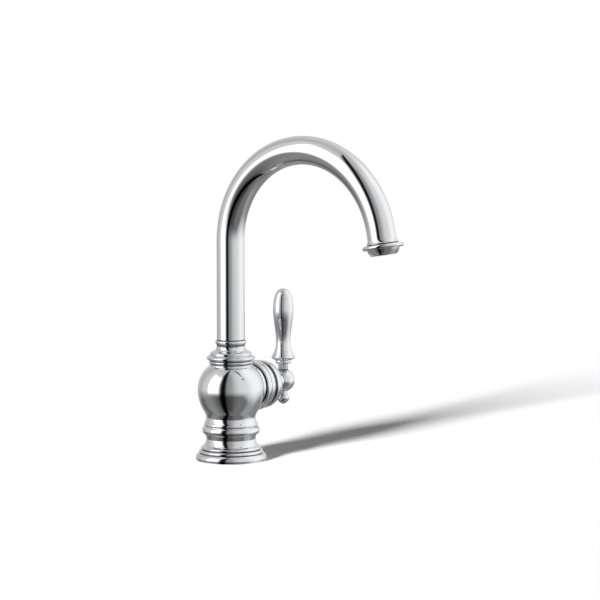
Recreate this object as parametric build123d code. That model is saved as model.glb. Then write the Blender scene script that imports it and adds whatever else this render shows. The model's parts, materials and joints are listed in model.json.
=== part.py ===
from build123d import *

import os
from math import cos, radians, sin, sqrt

# A single-hole beverage faucet: stepped base, bulb body, gooseneck spout that swivels, and a side lever
# that works a quarter-turn ceramic valve. Millimetres. The origin is the centre of the base's underside,
# on the worktop. +Z is up, the spout points along -Y and the handle stands out along +X.

# Clearances
SNUG = 0.02  # radial, between pieces pressed or screwed together
RUNNING = 0.06  # radial, between a turning piece and its bearing
FACE_GAP = 0.35  # axial, between faces that pass each other
HOLE_GAP = 0.35  # radial, where one piece only passes through another
OVERRUN = 1.0  # how far a cutting tool runs past the face that it opens

# Base flange
BASE_R = 27.9
BASE_EDGE_H = 0.8
BASE_SHOULDER_R = 26.0
BASE_SHOULDER_Z = 5.1
BASE_SHOULDER_BOW = 0.9
BASE_QUIRK_R = 24.6
BASE_QUIRK_H = 0.4
BASE_BEAD_R = 25.3
BASE_BEAD_BOW = 0.45
BASE_GROOVE_R = 22.6
BASE_GROOVE_Z = 6.6
BASE_LIP_R = 23.7
BASE_LIP_Z = 7.5
BASE_LIP_H = 2.6
BASE_LIP_BOW = 0.35
BASE_LIP_EDGE = 0.5
BASE_STEP_R = 21.5
BASE_STEP_Z = 11.9
BASE_SWEEP_BOW = 0.4
BASE_TOP_Z = 17.0
BASE_WEB = 4.0
BASE_CAVITY_R = 16.0
GASKET_INNER_R = 18.5
GASKET_OUTER_R = 24.0
GASKET_H = 1.8

# Body shell: the pedestal's band and rings, the bulb and its neck
WAIST_R = 19.6
BAND_TOP_R = 20.4
BAND_TOP_Z = 20.3
BAND_COVE = 0.35
LOWER_RING_R = 22.3
LOWER_RING_Z = 21.5
LOWER_RING_TOP_Z = 26.3
LOWER_RING_BOW = 0.6
UPPER_RING_R = 21.0
UPPER_RING_Z = 27.1
UPPER_RING_TOP_Z = 29.9
UPPER_RING_BOW = 0.4
NECK_R = 19.6
NECK_Z = 34.3
PEDESTAL_COVE = 0.4
BULB_R = 26.4
BULB_LOW_R = 21.6
BULB_LOW_Z = 39.2
BULB_FOOT_COVE = 0.3
BULB_TOP_R = 17.3
BULB_CROWN_Z = 74.9
SHELL_NECK_R = 17.0
SHELL_NECK_Z = 75.3
BULB_TOP_Z = 76.3
SHELL_WALL = 2.6
SHELL_FOOT_WALL = 3.0
SHELL_MOUTH_R = 13.2

# Valve axis height, which is also the height of the bulb's widest ring
VALVE_Z = 56.3

# Collar that clamps the shell and guides the spout
COLLAR_QUIRK_R = 15.6
COLLAR_QUIRK_H = 0.8
COLLAR_UNDERCUT_R = 16.9
COLLAR_FLARE = 0.6
COLLAR_COVE = 0.15
COLLAR_THROAT_R = 16.6
COLLAR_THROAT_H = 0.6
COLLAR_LIP_Z = 80.2
COLLAR_LIP_R = 18.7
COLLAR_LIP_H = 2.4
COLLAR_LIP_BOW = 0.55
COLLAR_SLOPE_COVE = 0.25
COLLAR_STEP_R = 16.4
COLLAR_STEP_Z = 83.8
COLLAR_STEP_H = 1.7
COLLAR_STEP_EDGE = 0.6
COLLAR_SWEEP_R = 13.2
COLLAR_SWEEP_Z = 87.2
COLLAR_SWEEP_COVE = 0.9
COLLAR_NECK_R = 11.5
COLLAR_TOP_Z = 91.7

# Waterway column
COLUMN_R = 12.2
COLUMN_THREAD_R = 11.9
COLUMN_FOOT_R = 15.0
COLUMN_FOOT_H = 4.0
COLUMN_FOOT_SLOPE = 2.0
COLUMN_TOP_Z = 81.4
SPOUT_BORE_R = 9.6
SPOUT_CHAMBER_Z = 66.5
BUSH_LEDGE_R = 8.8
BUSH_LEDGE_Z = 67.6
PASSAGE_R = 2.6
PORT_SPACING = 9.0
PORT_FLOOR_X = 4.4
PORT_R = 9.2

# Spout
TUBE_R = 11.1
TUBE_WALL = 1.2
ARCH_R = 73.9
ARCH_Z = 174.3
ARCH_END_ANGLE = 10.5  # degrees that the outlet leans off the plumb line
TUBE_TAIL = 5.0
FERRULE_R = 12.4
FERRULE_H = 2.8
FERRULE_BOW = 0.6
FERRULE_QUIRK = 1.3
SPIGOT_R = 8.0
SPIGOT_BORE_R = 5.6
SPIGOT_LOW_Z = 67.0
SPIGOT_PLUG_H = 7.0
BUSH_FLANGE_R = 11.2
BUSH_FLANGE_H = 0.9
LOWER_BUSH_H = 4.0
BUSH_TAIL = 0.4
SEAL_GROOVE_DEPTH = 0.85
SEAL_GROOVE_W = 2.8
SEAL_HEIGHTS = (73.6, 78.2)
CLIP_R = 10.2
CLIP_T = 1.2
CLIP_GROOVE_DEPTH = 0.7
CLIP_SPACE_R = 10.8
CLIP_SPACE_H = 2.8
CLIP_OPENING = 60.0  # degrees

# Outlet, measured along its own axis from the top of its flare
OUTLET_FLARE_R = 12.5
OUTLET_FLARE_START = 0.25
OUTLET_FLARE_H = 2.7
OUTLET_FLARE_COVE = 0.25
OUTLET_FLARE_EDGE = 0.3
OUTLET_GROOVE_R = 12.0
OUTLET_GROOVE_W = 0.4
OUTLET_LIP_R = 15.3
OUTLET_LIP_BOW = 0.7
OUTLET_LIP_H = 2.3
OUTLET_LIP_S = 6.3
TUBE_SEAT_S = 4.0
OUTLET_LEDGE = 1.0
OUTLET_STEP_W = 1.4
OUTLET_THREAD_R = 10.8
OUTLET_SKIRT = 3.0
AERATOR_R = 12.9
AERATOR_END_R = 10.4
AERATOR_END_S = 12.0
AERATOR_MOUTH_R = 8.6
AERATOR_BAND_H = 0.5
AERATOR_TAPER_BOW = 0.25
AERATOR_RIM = 0.6
AERATOR_INSERT_R = 9.4
AERATOR_WASHER_T = 1.2
AERATOR_WASHER_INNER_R = 6.6
SCREEN_R = 7.6
SCREEN_T = 0.5
SCREEN_HOLE_R = 0.5
JET_R = 0.85
JET_PITCH = 2.5

# Handle boss, measured along +X from the upright axis
HOUSING_R = 14.4
HOUSING_START_X = 13.2
HOUSING_END_X = 42.0
HOUSING_BORE_R = 11.2
HOUSING_NOSE_R = 9.0
HOUSING_NOSE_BORE_R = 7.6
SHOULDER_X = 15.0
GLAND_THREAD_R = 12.2
GLAND_X = 34.6
GLAND_T = 5.0
SPANNER_HOLE_R = 1.2
SPANNER_HOLE_DEPTH = 3.0
BOSS_BEAD_R = 18.2
BOSS_BEAD_X = 22.6
BOSS_BEAD_EDGE = 0.4
BOSS_NECK_R = 16.5
BOSS_FLANGE_R = 19.8
BOSS_FLANGE_X = 23.7
BOSS_FLANGE_BOW = 0.3
BOSS_LINE_R = 20.1
BOSS_LINE_X = 27.9
BOSS_LINE_W = 0.3
BOSS_RIM_R = 19.3
BOSS_RIM_BOW = 0.4
BOSS_FLANGE_END_X = 33.3
BONNET_GROOVE_R = 16.5
BONNET_RING_X = 36.3
BONNET_RING_R = 19.3
BONNET_EDGE_R = 18.2
BONNET_EDGE_X = 43.9
BONNET_STEP_R = 15.6
BONNET_NOSE_R = 8.4
BONNET_NOSE_X = 52.0
BONNET_WEB_X = 46.4
BONNET_RING_BOW = 0.6
BONNET_STEP_H = 1.0
BONNET_STEP_EDGE = 0.4
BONNET_DOME_BOW = 1.3
BONNET_NOSE_H = 1.6
BONNET_NOSE_EDGE = 0.4
BONNET_BORE_R = 6.9
BONNET_CONE_H = 1.4
BONNET_LEDGE_W = 3.0
BONNET_ROOM = 0.4

# Cartridge
CARTRIDGE_R = 11.0
CARTRIDGE_WALL = 1.4
CARTRIDGE_END_WALL = 2.4
SEAL_T = 1.0
BASE_NOSE_R = 7.4
BASE_FLANGE_T = 1.6
PORT_HOLE_R = 2.1
DISC_R = 9.5
DISC_T = 3.0
DISC_CHANNEL_DEPTH = 1.6
STEM_R = 4.5
STEM_FLANGE_R = 9.0
STEM_FLANGE_T = 2.6
STEM_TIP_R = 4.0
STEM_TIP_FLAT = 3.0
STEM_TIP_X = 58.0
STEM_STEP_X = 47.2
STOP_ROOT_R = 6.6
STOP_HALF_ANGLE = 9.0
STOP_PLAY = 2.0  # degrees left at each end of the travel
HANDLE_TRAVEL = 90.0
STEM_SEAL_X = 29.2
STEM_SEAL_DEPTH = 0.8
STEM_SEAL_W = 2.8
STEM_SEAL_BORE_R = 6.2

# Handle
HUB_X = 67.6
HUB_R = 9.4
HUB_NECK_R = 6.3
STUD_R = 2.9
SPACER_R = 4.0
SPACER_TOP = 13.9
SPACER_RING_R = 6.4
SPACER_RING_H = 2.6
SPACER_RING_BOW = 0.4
LEVER_FOOT_R = 9.7
LEVER_FOOT_H = 2.6
LEVER_WAIST_R = 5.8
LEVER_WAIST_Z = 31.1
LEVER_BELLY_R = 8.3
LEVER_BELLY_Z = 57.5
LEVER_TOP_Z = 74.9
FINIAL_R = 5.1
FINIAL_DROP = 13.3
FINIAL_BAND_H = 1.5
FINIAL_END_DROP = 19.5
FINIAL_END_BOW = 1.0
FINIAL_NECK_R = 3.7
FINIAL_SHOULDER_H = 1.5
STUD_END_DROP = 14.0
STUD_END_ROOM = 0.3
SET_SCREW_R = 1.5
SET_SCREW_X = 56.2
SET_SCREW_SINK = 0.5
HEX_KEY = 1.5
HEX_KEY_DEPTH = 1.4

# Mounting hardware and inlet below the worktop
SHANK_R = 8.33
SHANK_BORE_R = 5.4
SHANK_LOW_Z = -62.0
SHANK_TOP_Z = 34.0
SHANK_SHOULDER_R = 13.0
SHANK_SHOULDER_H = 4.0
THREAD_PITCH = 1.34
THREAD_DEPTH = 0.7
THREAD_GROOVE = 0.8  # share of the pitch that the groove is wide at the thread's crest
WORKTOP_T = 30.0
WASHER_R = 19.0
RUBBER_T = 3.0
STEEL_T = 1.5
NUT_ACROSS = 27.0
NUT_H = 8.0
NUT_BEVEL = 0.6  # rise of the bevelled corners for each millimetre outwards
INLET_R = 4.76
INLET_BORE_R = 3.4
INLET_LOW_Z = -110.0
INLET_SOCKET_H = 6.0
ADAPTER_R = 7.14
ADAPTER_THREAD_L = 10.0
ADAPTER_HEX = 17.0
ADAPTER_HEX_H = 7.0
ADAPTER_NECK_R = 6.6
ADAPTER_NECK_H = 5.0

# Places worked out from the sizes above
collar_bottom_z = BULB_TOP_Z
spout_low_z = COLLAR_TOP_Z + BUSH_FLANGE_H
clip_space_top_z = COLUMN_TOP_Z + CLIP_SPACE_H
seal_floor_r = SPIGOT_R - SEAL_GROOVE_DEPTH
washer_top_z = -WORKTOP_T
nut_top_z = washer_top_z - RUBBER_T - STEEL_T
base_seat_x = PORT_FLOOR_X + SEAL_T
disc_x = SHOULDER_X + BASE_FLANGE_T
stem_flange_x = disc_x + 2 * DISC_T
outlet_tilt = radians(ARCH_END_ANGLE)
flow = Vector(0, -sin(outlet_tilt), -cos(outlet_tilt))
arch_end = Vector(0, -ARCH_R * (1 + cos(outlet_tilt)), ARCH_Z + ARCH_R * sin(outlet_tilt))
outlet_frame = Plane(origin=arch_end + flow * TUBE_TAIL, x_dir=(1, 0, 0), z_dir=flow)


def turned(*outline):
    """A solid turned about Z from (radius, height) points. A third value bows the edge that ends there to
    the right of the way it runs, by that much at its middle."""
    edges = []
    for start, end in zip(outline, outline[1:] + outline[:1]):
        bow = end[2] if len(end) == 3 else 0
        edges.append(SagittaArc(start[:2], end[:2], -bow) if bow else Line(start[:2], end[:2]))
    return revolve(Plane.XZ * make_face(edges), Axis.Z)


def rod(radius, low, high):
    """A cylinder on Z between two heights."""
    return Pos(0, 0, low) * Cylinder(radius, high - low, align=(Align.CENTER, Align.CENTER, Align.MIN))


def pipe(outer, inner, low, high):
    """A hollow cylinder on Z between two heights."""
    return rod(outer, low, high) - rod(inner, low - OVERRUN, high + OVERRUN)


def ring_seal(radius, cord, height):
    """An O-ring about Z."""
    return Pos(0, 0, height) * Torus(radius, cord)


def hex_bar(across, low, high):
    """A hexagonal prism on Z between two heights."""
    section = RegularPolygon(across / 2, 6, major_radius=False)
    return Pos(0, 0, low) * extrude(section, high - low)


def on_valve(solid):
    """Lays a solid made along Z onto the valve axis, so its heights become distances along +X."""
    return Pos(0, 0, VALVE_Z) * Rot(0, 90, 0) * solid


def on_outlet(solid):
    """Puts a solid made along Z onto the outlet's axis, with its heights along the flow."""
    return outlet_frame.location * solid


def on_hub(solid):
    """Lifts a solid made about the origin to the centre of the handle's hub."""
    return Pos(HUB_X, 0, VALVE_Z) * solid


def base_flange():
    """The foot: a rounded shoulder, a bead, a lip and a hollow sweep up to the waist, over a web that the
    shank pulls down."""
    lip_top = BASE_LIP_Z + BASE_LIP_H
    solid = turned(
        (SHANK_R + HOLE_GAP, BASE_TOP_Z - BASE_WEB),
        (BASE_CAVITY_R, BASE_TOP_Z - BASE_WEB),
        (BASE_CAVITY_R, 0),
        (BASE_R, 0),
        (BASE_R, BASE_EDGE_H),
        (BASE_SHOULDER_R, BASE_SHOULDER_Z, BASE_SHOULDER_BOW),
        (BASE_QUIRK_R, BASE_SHOULDER_Z),
        (BASE_QUIRK_R, BASE_SHOULDER_Z + BASE_QUIRK_H),
        (BASE_BEAD_R, BASE_SHOULDER_Z + BASE_QUIRK_H),
        (BASE_BEAD_R, BASE_GROOVE_Z, BASE_BEAD_BOW),
        (BASE_GROOVE_R, BASE_GROOVE_Z),
        (BASE_GROOVE_R, BASE_LIP_Z),
        (BASE_LIP_R, BASE_LIP_Z),
        (BASE_LIP_R, lip_top, BASE_LIP_BOW),
        (BASE_LIP_R - BASE_LIP_EDGE, lip_top + BASE_LIP_EDGE),
        (BASE_STEP_R, BASE_STEP_Z),
        (WAIST_R, BASE_TOP_Z, -BASE_SWEEP_BOW),
        (SHANK_R + HOLE_GAP, BASE_TOP_Z),
    )
    return solid - pipe(GASKET_OUTER_R, GASKET_INNER_R, -OVERRUN, GASKET_H)


def base_gasket():
    """Rubber ring let into the underside of the base."""
    return pipe(GASKET_OUTER_R - SNUG, GASKET_INNER_R + SNUG, 0, GASKET_H)


def bulb_outer():
    """The outside of the body shell as a full solid, from the base to the collar."""
    low_bow = bow_to_vertical(BULB_R - BULB_LOW_R, VALVE_Z - BULB_LOW_Z)
    top_bow = bow_to_vertical(BULB_R - BULB_TOP_R, BULB_CROWN_Z - VALVE_Z)
    return turned(
        (0, BASE_TOP_Z),
        (WAIST_R, BASE_TOP_Z),
        (BAND_TOP_R, BAND_TOP_Z),
        (LOWER_RING_R, LOWER_RING_Z, -BAND_COVE),
        (LOWER_RING_R, LOWER_RING_TOP_Z, LOWER_RING_BOW),
        (UPPER_RING_R, UPPER_RING_Z),
        (UPPER_RING_R, UPPER_RING_TOP_Z, UPPER_RING_BOW),
        (NECK_R, NECK_Z, -PEDESTAL_COVE),
        (BULB_LOW_R, BULB_LOW_Z, -BULB_FOOT_COVE),
        (BULB_R, VALVE_Z, low_bow),
        (BULB_TOP_R, BULB_CROWN_Z, top_bow),
        (SHELL_NECK_R, SHELL_NECK_Z),
        (SHELL_NECK_R, BULB_TOP_Z),
        (0, BULB_TOP_Z),
    )


def bow_to_vertical(width, height):
    """The bow of an arc whose ends differ by width and height and that runs upright at its widest end."""
    radius = (width**2 + height**2) / (2 * width)
    chord = sqrt(width**2 + height**2)
    return radius - sqrt(radius**2 - (chord / 2) ** 2)


def body_shell():
    """Hollow bulb on its pedestal, open at the bottom, at the collar and at the side for the valve."""
    inner_r = BULB_R - SHELL_WALL
    inner_low_r = WAIST_R - SHELL_FOOT_WALL
    inner_top_z = BULB_TOP_Z - SHELL_WALL
    cavity = turned(
        (0, BASE_TOP_Z - OVERRUN),
        (inner_low_r, BASE_TOP_Z - OVERRUN),
        (inner_low_r, BULB_LOW_Z),
        (inner_r, VALVE_Z, bow_to_vertical(inner_r - inner_low_r, VALVE_Z - BULB_LOW_Z)),
        (SHELL_MOUTH_R, inner_top_z, bow_to_vertical(inner_r - SHELL_MOUTH_R, inner_top_z - VALVE_Z)),
        (SHELL_MOUTH_R, BULB_TOP_Z + OVERRUN),
        (0, BULB_TOP_Z + OVERRUN),
    )
    return bulb_outer() - cavity - on_valve(rod(HOUSING_R + HOLE_GAP, 0, BULB_R + OVERRUN))


def waterway_column():
    """Brass core: inlet socket below, two-port seat for the valve at the side, spout bore above."""
    solid = turned(
        (0, BASE_TOP_Z),
        (COLUMN_FOOT_R, BASE_TOP_Z),
        (COLUMN_FOOT_R, BASE_TOP_Z + COLUMN_FOOT_H),
        (COLUMN_R, BASE_TOP_Z + COLUMN_FOOT_H + COLUMN_FOOT_SLOPE),
        (COLUMN_R, BULB_TOP_Z - SHELL_WALL),
        (COLUMN_THREAD_R, BULB_TOP_Z - SHELL_WALL),
        (COLUMN_THREAD_R, COLUMN_TOP_Z),
        (0, COLUMN_TOP_Z),
    )
    low_port, high_port = VALVE_Z - PORT_SPACING / 2, VALVE_Z + PORT_SPACING / 2
    solid -= rod(SHANK_R + SNUG, BASE_TOP_Z - OVERRUN, SHANK_TOP_Z)
    solid -= rod(INLET_R + SNUG, SHANK_TOP_Z - OVERRUN, SHANK_TOP_Z + INLET_SOCKET_H)
    solid -= rod(PASSAGE_R, SHANK_TOP_Z, low_port)
    solid -= rod(PASSAGE_R, high_port, SPOUT_CHAMBER_Z + OVERRUN)
    solid -= rod(BUSH_LEDGE_R, SPOUT_CHAMBER_Z, BUSH_LEDGE_Z + OVERRUN)
    solid -= rod(SPOUT_BORE_R, BUSH_LEDGE_Z, COLUMN_TOP_Z + OVERRUN)
    solid -= on_valve(rod(PORT_R, PORT_FLOOR_X, COLUMN_R + OVERRUN))
    for height in (low_port, high_port):
        solid -= Pos(0, 0, height) * Rot(0, 90, 0) * rod(PASSAGE_R, 0, PORT_FLOOR_X + OVERRUN)
        solid -= Pos(0, 0, height) * Sphere(PASSAGE_R)
    return solid


def spout_collar():
    """Moulded cap that screws onto the column, holds the shell down and carries the spout's upper bush."""
    lip_top = COLLAR_LIP_Z + COLLAR_LIP_H
    step_top = COLLAR_STEP_Z + COLLAR_STEP_H
    throat_low = COLLAR_LIP_Z - COLLAR_THROAT_H
    return turned(
        (COLUMN_THREAD_R + SNUG, collar_bottom_z),
        (COLLAR_QUIRK_R, collar_bottom_z),
        (COLLAR_QUIRK_R, collar_bottom_z + COLLAR_QUIRK_H),
        (COLLAR_UNDERCUT_R, collar_bottom_z + COLLAR_QUIRK_H),
        (COLLAR_UNDERCUT_R + COLLAR_FLARE, throat_low, -COLLAR_COVE),
        (COLLAR_THROAT_R, throat_low),
        (COLLAR_THROAT_R, COLLAR_LIP_Z),
        (COLLAR_LIP_R, COLLAR_LIP_Z),
        (COLLAR_LIP_R, lip_top, COLLAR_LIP_BOW),
        (COLLAR_STEP_R, COLLAR_STEP_Z, -COLLAR_SLOPE_COVE),
        (COLLAR_STEP_R, step_top),
        (COLLAR_STEP_R - COLLAR_STEP_EDGE, step_top + COLLAR_STEP_EDGE),
        (COLLAR_SWEEP_R, COLLAR_SWEEP_Z),
        (COLLAR_NECK_R, COLLAR_TOP_Z, -COLLAR_SWEEP_COVE),
        (SPOUT_BORE_R + SNUG, COLLAR_TOP_Z),
        (SPOUT_BORE_R + SNUG, clip_space_top_z),
        (CLIP_SPACE_R, clip_space_top_z),
        (CLIP_SPACE_R, COLUMN_TOP_Z),
        (COLUMN_THREAD_R + SNUG, COLUMN_TOP_Z),
    )


def upper_bush():
    """Flanged plastic bush in the collar, whose flange is the washer that the spout turns on."""
    inner = SPIGOT_R + RUNNING
    return turned(
        (inner, clip_space_top_z - BUSH_TAIL),
        (SPOUT_BORE_R, clip_space_top_z - BUSH_TAIL),
        (SPOUT_BORE_R, COLLAR_TOP_Z),
        (BUSH_FLANGE_R, COLLAR_TOP_Z),
        (BUSH_FLANGE_R, spout_low_z),
        (inner, spout_low_z),
    )


def lower_bush():
    """Plain plastic bush on its ledge in the column."""
    return pipe(SPOUT_BORE_R - SNUG, SPIGOT_R + RUNNING, BUSH_LEDGE_Z, BUSH_LEDGE_Z + LOWER_BUSH_H)


def spout_spigot():
    """Brass tail of the spout: a plug brazed into the tube, two seal grooves and a clip groove."""
    solid = pipe(SPIGOT_R, SPIGOT_BORE_R, SPIGOT_LOW_Z, spout_low_z)
    solid += pipe(TUBE_R - TUBE_WALL - SNUG, SPIGOT_BORE_R, spout_low_z, spout_low_z + SPIGOT_PLUG_H)
    for height in SEAL_HEIGHTS:
        half = SEAL_GROOVE_W / 2
        solid -= pipe(SPIGOT_R + OVERRUN, seal_floor_r, height - half, height + half)
    clip_low = COLUMN_TOP_Z + FACE_GAP
    return solid - pipe(SPIGOT_R + OVERRUN, SPIGOT_R - CLIP_GROOVE_DEPTH, clip_low, clip_low + CLIP_T)


def spout_seals():
    """Two O-rings that seal the spigot in the column's bore."""
    inner, outer = seal_floor_r + SNUG, SPOUT_BORE_R - RUNNING
    rings = [ring_seal((inner + outer) / 2, (outer - inner) / 2, height) for height in SEAL_HEIGHTS]
    return Compound(children=[ring.solid() for ring in rings])


def spout_clip():
    """Spring clip on the spigot, caught under the upper bush so the spout can't be pulled out."""
    low = COLUMN_TOP_Z + FACE_GAP
    ring = pipe(CLIP_R, SPIGOT_R - CLIP_GROOVE_DEPTH + SNUG, low, low + CLIP_T)
    reach = 2 * CLIP_R
    half_gap = radians(CLIP_OPENING / 2)
    wedge = Polyline((0, 0), (reach, reach * sin(half_gap)), (reach, -reach * sin(half_gap)), close=True)
    return ring - Pos(0, 0, low - OVERRUN) * extrude(make_face(wedge), CLIP_T + 2 * OVERRUN)


def spout_tube():
    """The gooseneck: an upright run, most of a half turn and a short straight tail into the outlet."""
    foot = Line((0, 0, spout_low_z), (0, 0, ARCH_Z))
    crown = Vector(0, -ARCH_R, ARCH_Z + ARCH_R)
    arch = ThreePointArc((0, 0, ARCH_Z), crown, arch_end)
    tail = Line(arch_end, arch_end + flow * (TUBE_TAIL + TUBE_SEAT_S))
    path = Wire([foot, arch, tail])
    section = Plane.XY.offset(spout_low_z) * (Circle(TUBE_R) - Circle(TUBE_R - TUBE_WALL))
    return sweep(section, path=path)


def spout_ferrule():
    """Bead brazed round the foot of the tube."""
    return turned(
        (TUBE_R + SNUG, spout_low_z),
        (FERRULE_R - FERRULE_BOW, spout_low_z),
        (FERRULE_R - FERRULE_BOW, spout_low_z + FERRULE_H, FERRULE_BOW),
        (TUBE_R + SNUG, spout_low_z + FERRULE_H - FERRULE_QUIRK),
    )


def outlet_collar():
    """Flare and rounded lip at the end of the tube, with the thread that the aerator screws onto."""
    flare_end = OUTLET_FLARE_H + OUTLET_FLARE_EDGE
    skirt_end = OUTLET_LIP_S + OUTLET_SKIRT
    bore = TUBE_R - TUBE_WALL
    return on_outlet(
        turned(
            (TUBE_R + SNUG, 0),
            (TUBE_R + OUTLET_FLARE_START, 0),
            (OUTLET_FLARE_R, OUTLET_FLARE_H, -OUTLET_FLARE_COVE),
            (OUTLET_FLARE_R, flare_end),
            (OUTLET_GROOVE_R, flare_end),
            (OUTLET_GROOVE_R, flare_end + OUTLET_GROOVE_W),
            (OUTLET_LIP_R, OUTLET_LIP_S - OUTLET_LIP_H),
            (OUTLET_LIP_R, OUTLET_LIP_S, OUTLET_LIP_BOW),
            (OUTLET_THREAD_R, OUTLET_LIP_S),
            (OUTLET_THREAD_R, skirt_end),
            (AERATOR_INSERT_R + SNUG, skirt_end),
            (AERATOR_INSERT_R + SNUG, TUBE_SEAT_S + OUTLET_LEDGE),
            (AERATOR_INSERT_R - OUTLET_STEP_W, TUBE_SEAT_S + OUTLET_LEDGE),
            (AERATOR_INSERT_R - OUTLET_STEP_W, TUBE_SEAT_S),
            (bore, TUBE_SEAT_S),
            (TUBE_R + SNUG, TUBE_SEAT_S),
        )
    )


def aerator_housing():
    """Tapered shell that screws up against the lip and carries the insert."""
    ledge = OUTLET_LIP_S + OUTLET_SKIRT
    return on_outlet(
        turned(
            (OUTLET_THREAD_R + SNUG, OUTLET_LIP_S),
            (AERATOR_R, OUTLET_LIP_S),
            (AERATOR_R, OUTLET_LIP_S + AERATOR_BAND_H),
            (AERATOR_END_R, AERATOR_END_S - AERATOR_RIM, AERATOR_TAPER_BOW),
            (AERATOR_END_R - AERATOR_RIM, AERATOR_END_S, 0.3 * AERATOR_RIM),
            (AERATOR_MOUTH_R, AERATOR_END_S),
            (AERATOR_MOUTH_R, ledge),
            (OUTLET_THREAD_R + SNUG, ledge),
        )
    )


def hex_grid(radius, pitch):
    """Points on a triangular grid within a radius of the centre."""
    points = []
    rows = int(radius / (pitch * sqrt(3) / 2)) + 1
    for row in range(-rows, rows + 1):
        y = row * pitch * sqrt(3) / 2
        for column in range(-rows, rows + 1):
            x = (column + 0.5 * (row % 2)) * pitch
            if x**2 + y**2 < radius**2:
                points.append((x, y))
    return points


def drilled(solid, field_r, hole_r, low, high):
    """A disc pierced by a grid of small holes on Z."""
    holes = [Pos(x, y, 0) * rod(hole_r, low, high) for x, y in hex_grid(field_r - hole_r, JET_PITCH)]
    return solid - holes


def aerator_insert():
    """Plastic jet former: a cup on the housing's ledge with a pierced end."""
    ledge = OUTLET_LIP_S + OUTLET_SKIRT
    top = TUBE_SEAT_S + OUTLET_LEDGE + AERATOR_WASHER_T
    end = AERATOR_END_S - AERATOR_RIM
    cup = rod(AERATOR_INSERT_R - SNUG, top, ledge) + rod(AERATOR_MOUTH_R - SNUG, ledge, end)
    cup -= rod(AERATOR_WASHER_INNER_R, top - OVERRUN, ledge)
    return on_outlet(drilled(cup, AERATOR_WASHER_INNER_R, JET_R, ledge - OVERRUN, end + OVERRUN))


def aerator_washer():
    """Rubber ring between the collar's ledge and the insert."""
    low = TUBE_SEAT_S + OUTLET_LEDGE
    high = low + AERATOR_WASHER_T
    ring = pipe(AERATOR_INSERT_R - SNUG, AERATOR_WASHER_INNER_R, low, high)
    return on_outlet(ring - rod(SCREEN_R, high - SCREEN_T, high + OVERRUN))


def aerator_screen():
    """Pierced disc in the washer's rebate, resting on the insert."""
    top = TUBE_SEAT_S + OUTLET_LEDGE + AERATOR_WASHER_T
    disc = rod(SCREEN_R - SNUG, top - SCREEN_T, top)
    return on_outlet(drilled(disc, AERATOR_WASHER_INNER_R, SCREEN_HOLE_R, top - OVERRUN, top + OVERRUN))


def cartridge_housing():
    """Brass barrel that screws into the column's side and holds the cartridge."""
    barrel = pipe(HOUSING_R, HOUSING_BORE_R, HOUSING_START_X, HOUSING_END_X)
    barrel += pipe(HOUSING_R, HOUSING_NOSE_BORE_R, HOUSING_START_X, SHOULDER_X)
    barrel += pipe(HOUSING_NOSE_R, HOUSING_NOSE_BORE_R, PORT_FLOOR_X, HOUSING_START_X)
    return on_valve(barrel - rod(GLAND_THREAD_R, GLAND_X, HOUSING_END_X + OVERRUN))


def boss_flange():
    """Trim ring round the housing: a bead against the bulb, a neck and a broad flange."""
    ring = turned(
        (HOUSING_R + HOLE_GAP, SHOULDER_X),
        (BOSS_BEAD_R, SHOULDER_X),
        (BOSS_BEAD_R, BOSS_BEAD_X - BOSS_BEAD_EDGE),
        (BOSS_BEAD_R - BOSS_BEAD_EDGE, BOSS_BEAD_X),
        (BOSS_NECK_R, BOSS_BEAD_X),
        (BOSS_NECK_R, BOSS_FLANGE_X),
        (BOSS_FLANGE_R, BOSS_FLANGE_X),
        (BOSS_LINE_R - BOSS_LINE_W, BOSS_LINE_X, BOSS_FLANGE_BOW),
        (BOSS_LINE_R, BOSS_LINE_X + BOSS_LINE_W),
        (BOSS_RIM_R, BOSS_FLANGE_END_X, BOSS_RIM_BOW),
        (HOUSING_R + HOLE_GAP, BOSS_FLANGE_END_X),
    )
    collar_room = rod(COLLAR_LIP_R, BULB_TOP_Z - OVERRUN, COLLAR_TOP_Z)
    return on_valve(ring) - (bulb_outer() + collar_room)


def bonnet():
    """Cap screwed onto the housing: a groove, a broad ring, a domed face and a bearing for the hub."""
    dome_start = BONNET_EDGE_X + BONNET_STEP_H
    nose_start = BONNET_NOSE_X - BONNET_NOSE_H
    mouth = HOUSING_END_X + BONNET_ROOM
    return on_valve(
        turned(
            (HOUSING_R + SNUG, BOSS_FLANGE_END_X),
            (BONNET_GROOVE_R, BOSS_FLANGE_END_X),
            (BONNET_GROOVE_R, BONNET_RING_X),
            (BONNET_RING_R - BONNET_STEP_EDGE, BONNET_RING_X + BONNET_STEP_EDGE),
            (BONNET_EDGE_R - BONNET_STEP_EDGE, BONNET_EDGE_X, BONNET_RING_BOW),
            (BONNET_STEP_R, dome_start - BONNET_STEP_EDGE),
            (BONNET_STEP_R, dome_start),
            (BONNET_NOSE_R + BONNET_NOSE_EDGE, nose_start, BONNET_DOME_BOW),
            (BONNET_NOSE_R, nose_start + BONNET_NOSE_EDGE),
            (BONNET_NOSE_R - BONNET_NOSE_EDGE, BONNET_NOSE_X, 0.5 * BONNET_NOSE_EDGE),
            (HUB_NECK_R + RUNNING, BONNET_NOSE_X),
            (HUB_NECK_R + RUNNING, BONNET_WEB_X),
            (BONNET_BORE_R, BONNET_WEB_X - BONNET_CONE_H),
            (HOUSING_R - BONNET_LEDGE_W, mouth),
            (HOUSING_R + SNUG, mouth),
        )
    )


def both_ports(radius, low, high):
    """Two holes along the valve axis, one for the water in and one for the water out."""
    offset = PORT_SPACING / 2
    return on_valve(Pos(offset, 0, 0) * rod(radius, low, high) + Pos(-offset, 0, 0) * rod(radius, low, high))


def cartridge_seal():
    """Rubber face seal round both ports."""
    disc = on_valve(rod(BASE_NOSE_R, PORT_FLOOR_X, base_seat_x))
    return disc - both_ports(PASSAGE_R, PORT_FLOOR_X - OVERRUN, base_seat_x + OVERRUN)


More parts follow.
